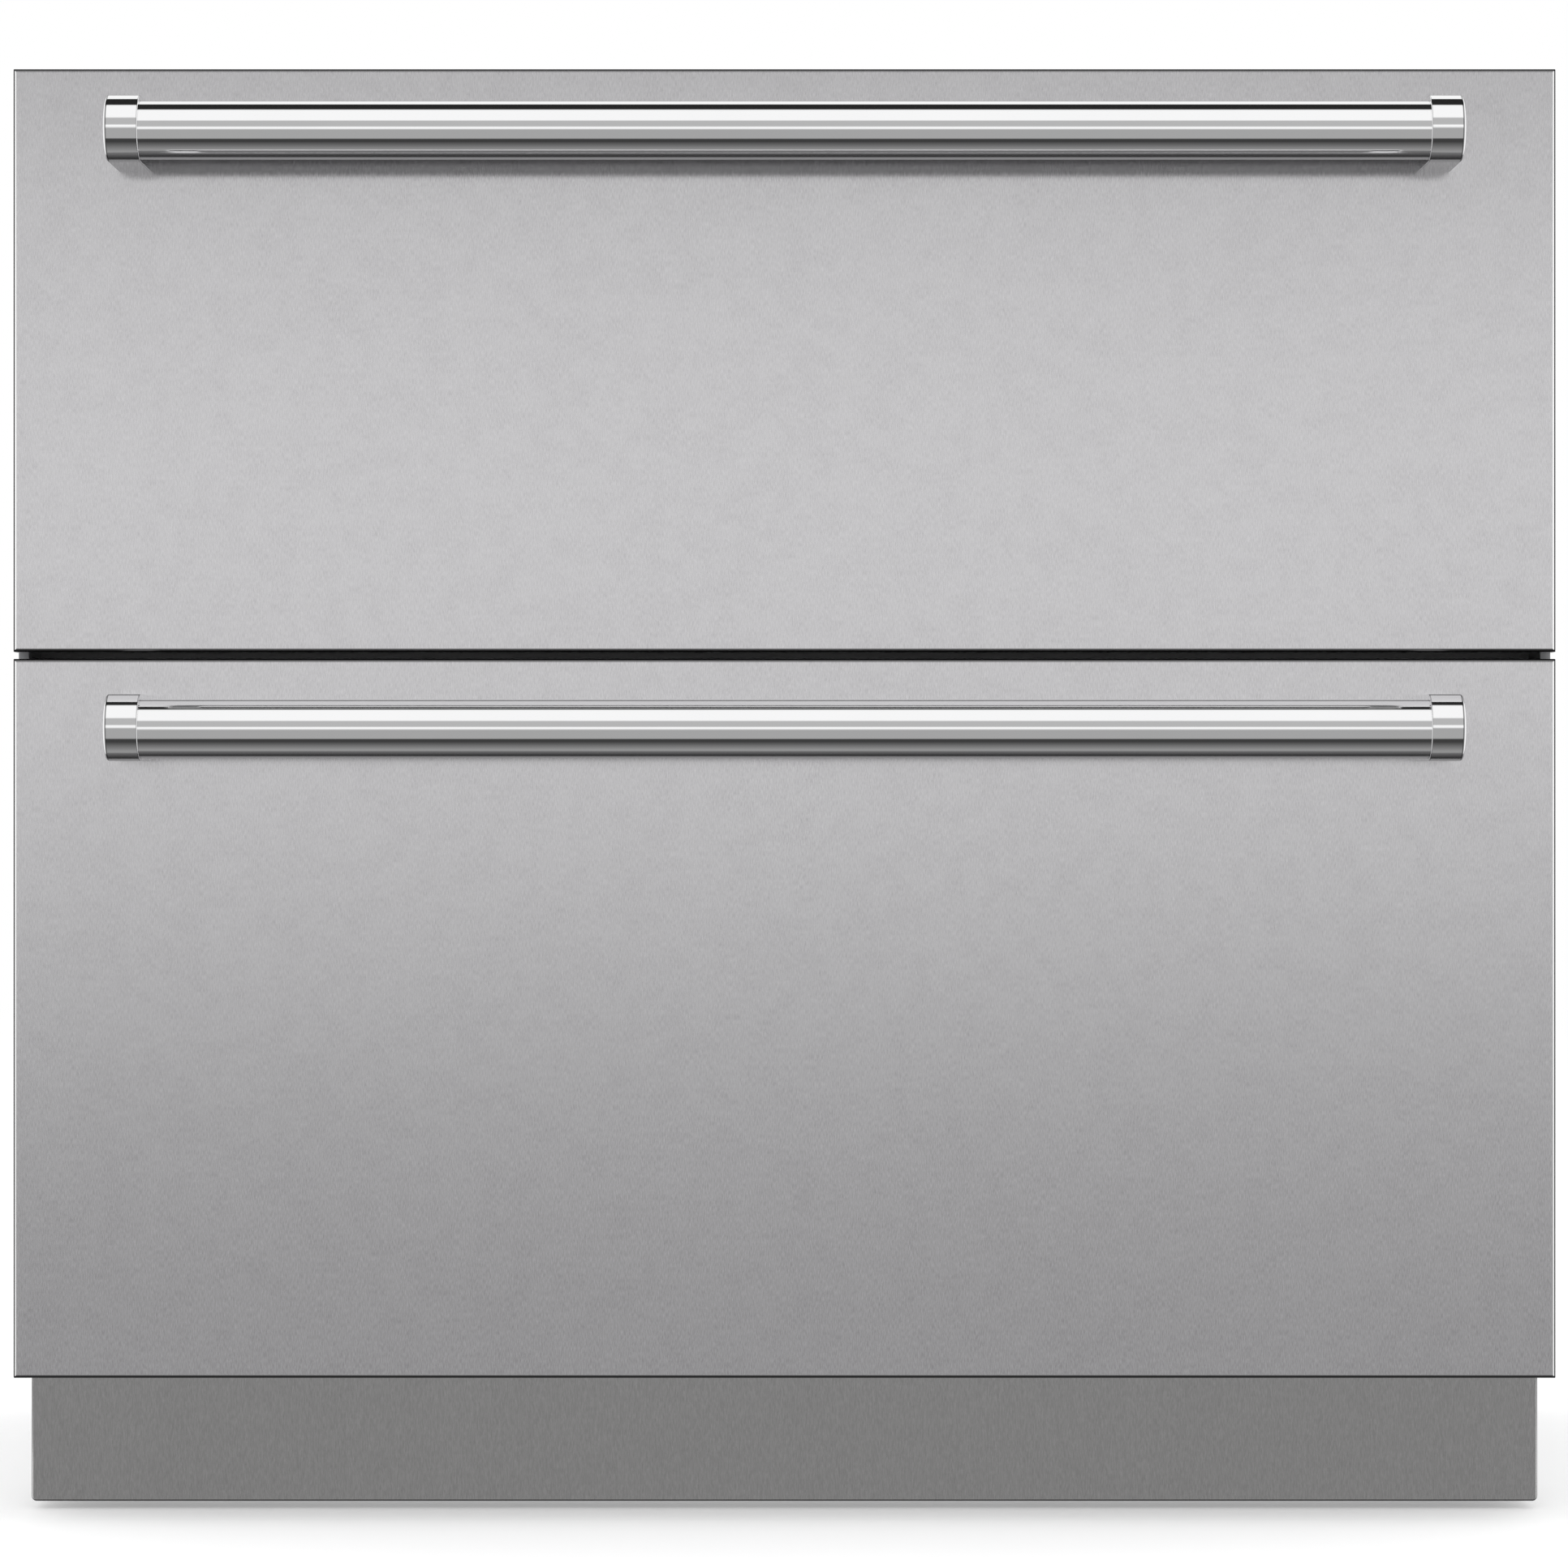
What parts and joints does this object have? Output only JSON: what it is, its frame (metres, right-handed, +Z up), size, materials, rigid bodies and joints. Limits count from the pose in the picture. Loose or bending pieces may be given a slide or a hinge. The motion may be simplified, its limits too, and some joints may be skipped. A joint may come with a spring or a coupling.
{
  "type": "undercounter drawer refrigerator",
  "caption": "Wide undercounter refrigerator with a shallow drawer over a deep one, brushed steel fronts, polished bar handles and a recessed kickplate.",
  "frame": {"origin": "centre of the footprint on the floor, drawers closed", "axes": "+X to the right seen from the front, +Y to the rear, +Z up"},
  "size_m": [0.9144, 0.6751, 0.8655],
  "materials": {
    "stainless": "vertical brushed grain",
    "handle_chrome": "polished",
    "shell_steel": "satin grey coated steel sheet",
    "frame_steel": "satin light grey",
    "galvanised": "zinc coated",
    "foam": "rigid polyurethane foam",
    "liner_white": "moulded",
    "gasket_grey": "soft",
    "rail_steel": "zinc plated",
    "carrier_steel": "powder coated",
    "bin_clear": "translucent moulded",
    "divider_clear": "clear",
    "gear_plastic": "moulded acetal",
    "duct_white": "moulded",
    "aluminium": "mill finish",
    "motor_black": "satin",
    "fan_plastic": "moulded",
    "copper": "drawn copper tube",
    "lens": "frosted lamp lens",
    "panel_plastic": "moulded",
    "button_grey": "moulded",
    "foot_plastic": "moulded with a steel stud",
    "screw_steel": "zinc plated",
    "pan_plastic": "moulded"
  },
  "bodies": {
    "cabinet": {"left_side_wall": "shell_steel", "right_side_wall": "shell_steel", "top_cover": "galvanised", "rear_panel": "galvanised", "bottom_panel": "galvanised", "base_tray": "galvanised", "cabinet_foam": "foam", "inner_liner": "liner_white", "face_frame": "frame_steel", "center_mullion": "frame_steel", "kickplate": "stainless", "machine_cover": "motor_black", "power_cord_gland": "fan_plastic", "counter_brackets": "galvanised", "cabinet_screws": "screw_steel", "upper_cabinet_rails": "rail_steel", "lower_cabinet_rails": "rail_steel", "gear_racks": "gear_plastic", "evaporator": "aluminium", "evaporator_cover": "duct_white", "evaporator_fan_motor": "motor_black", "light_lens": "lens", "control_panel": "panel_plastic", "compressor": "motor_black", "condenser": "aluminium", "condenser_fan_motor": "motor_black", "drain_pan": "pan_plastic", "refrigerant_lines": "copper"},
    "evaporator_fan": {"evaporator_fan": "fan_plastic"},
    "condenser_fan": {"condenser_fan": "fan_plastic"},
    "front_left_leg": {"front_left_leg": "foot_plastic"},
    "front_right_leg": {"front_right_leg": "foot_plastic"},
    "rear_left_leg": {"rear_left_leg": "foot_plastic"},
    "rear_right_leg": {"rear_right_leg": "foot_plastic"},
    "colder_button": {"colder_button": "button_grey"},
    "warmer_button": {"warmer_button": "button_grey"},
    "upper_drawer": {"upper_front_skin": "stainless", "upper_front_core": "foam", "upper_front_liner": "liner_white", "upper_gasket": "gasket_grey", "upper_handle_bar": "handle_chrome", "upper_handle_brackets": "handle_chrome", "upper_drawer_carrier": "carrier_steel", "upper_drawer_rails": "rail_steel", "upper_bin": "bin_clear"},
    "upper_divider": {"upper_divider": "divider_clear"},
    "upper_middle": {"upper_middle_rails": "rail_steel"},
    "upper_shaft": {"upper_sync_shaft": "gear_plastic"},
    "lower_drawer": {"lower_front_skin": "stainless", "lower_front_core": "foam", "lower_front_liner": "liner_white", "lower_gasket": "gasket_grey", "lower_handle_bar": "handle_chrome", "lower_handle_brackets": "handle_chrome", "lower_drawer_carrier": "carrier_steel", "lower_drawer_rails": "rail_steel", "lower_bin": "bin_clear"},
    "lower_divider": {"lower_divider": "divider_clear"},
    "lower_middle": {"lower_middle_rails": "rail_steel"},
    "lower_shaft": {"lower_sync_shaft": "gear_plastic"}
  },
  "joints": [
    {"name": "upper_drawer_slide", "type": "slide", "parent": "cabinet", "child": "upper_drawer", "axis": [0, -1, 0], "range_m": [0, 0.39]},
    {"name": "upper_middle_slide", "type": "slide", "parent": "cabinet", "child": "upper_middle", "axis": [0, -1, 0], "range_m": [0, 0.195]},
    {"name": "upper_shaft_turn", "type": "hinge", "parent": "upper_drawer", "child": "upper_shaft", "pos_m": [0, 0.21255, 0.7026], "axis": [1, 0, 0], "range_deg": [-1862.6, 0]},
    {"name": "upper_divider_slide", "type": "slide", "parent": "upper_drawer", "child": "upper_divider", "axis": [1, 0, 0], "range_m": [-0.3, 0.3]},
    {"name": "lower_drawer_slide", "type": "slide", "parent": "cabinet", "child": "lower_drawer", "axis": [0, -1, 0], "range_m": [0, 0.39]},
    {"name": "lower_middle_slide", "type": "slide", "parent": "cabinet", "child": "lower_middle", "axis": [0, -1, 0], "range_m": [0, 0.195]},
    {"name": "lower_shaft_turn", "type": "hinge", "parent": "lower_drawer", "child": "lower_shaft", "pos_m": [0, 0.21255, 0.4576], "axis": [1, 0, 0], "range_deg": [-1862.6, 0]},
    {"name": "lower_divider_slide", "type": "slide", "parent": "lower_drawer", "child": "lower_divider", "axis": [1, 0, 0], "range_m": [-0.3, 0.3]},
    {"name": "front_left_leg_height", "type": "slide", "parent": "cabinet", "child": "front_left_leg", "axis": [0, 0, -1], "range_m": [0, 0.02]},
    {"name": "front_right_leg_height", "type": "slide", "parent": "cabinet", "child": "front_right_leg", "axis": [0, 0, -1], "range_m": [0, 0.02]},
    {"name": "rear_left_leg_height", "type": "slide", "parent": "cabinet", "child": "rear_left_leg", "axis": [0, 0, -1], "range_m": [0, 0.02]},
    {"name": "rear_right_leg_height", "type": "slide", "parent": "cabinet", "child": "rear_right_leg", "axis": [0, 0, -1], "range_m": [0, 0.02]},
    {"name": "colder_button_press", "type": "slide", "parent": "cabinet", "child": "colder_button", "axis": [0, 1, 0], "range_m": [0, 0.001], "stiffness_N_per_m": 1500, "springref_m": -0.0005},
    {"name": "warmer_button_press", "type": "slide", "parent": "cabinet", "child": "warmer_button", "axis": [0, 1, 0], "range_m": [0, 0.001], "stiffness_N_per_m": 1500, "springref_m": -0.0005},
    {"name": "evaporator_fan_spin", "type": "hinge", "parent": "cabinet", "child": "evaporator_fan", "pos_m": [0, 0.24355, 0.75], "axis": [0, 1, 0], "continuous": true},
    {"name": "condenser_fan_spin", "type": "hinge", "parent": "cabinet", "child": "condenser_fan", "pos_m": [-0.2705, 0.21955, 0.1215], "axis": [1, 0, 0], "continuous": true}
  ],
  "couplings": [
    {"joint": "upper_middle_slide", "follows": "upper_drawer_slide", "ratio": 0.5},
    {"joint": "upper_shaft_turn", "follows": "upper_drawer_slide", "rad_per_m": -83.333},
    {"joint": "lower_middle_slide", "follows": "lower_drawer_slide", "ratio": 0.5},
    {"joint": "lower_shaft_turn", "follows": "lower_drawer_slide", "rad_per_m": -83.333}
  ]
}
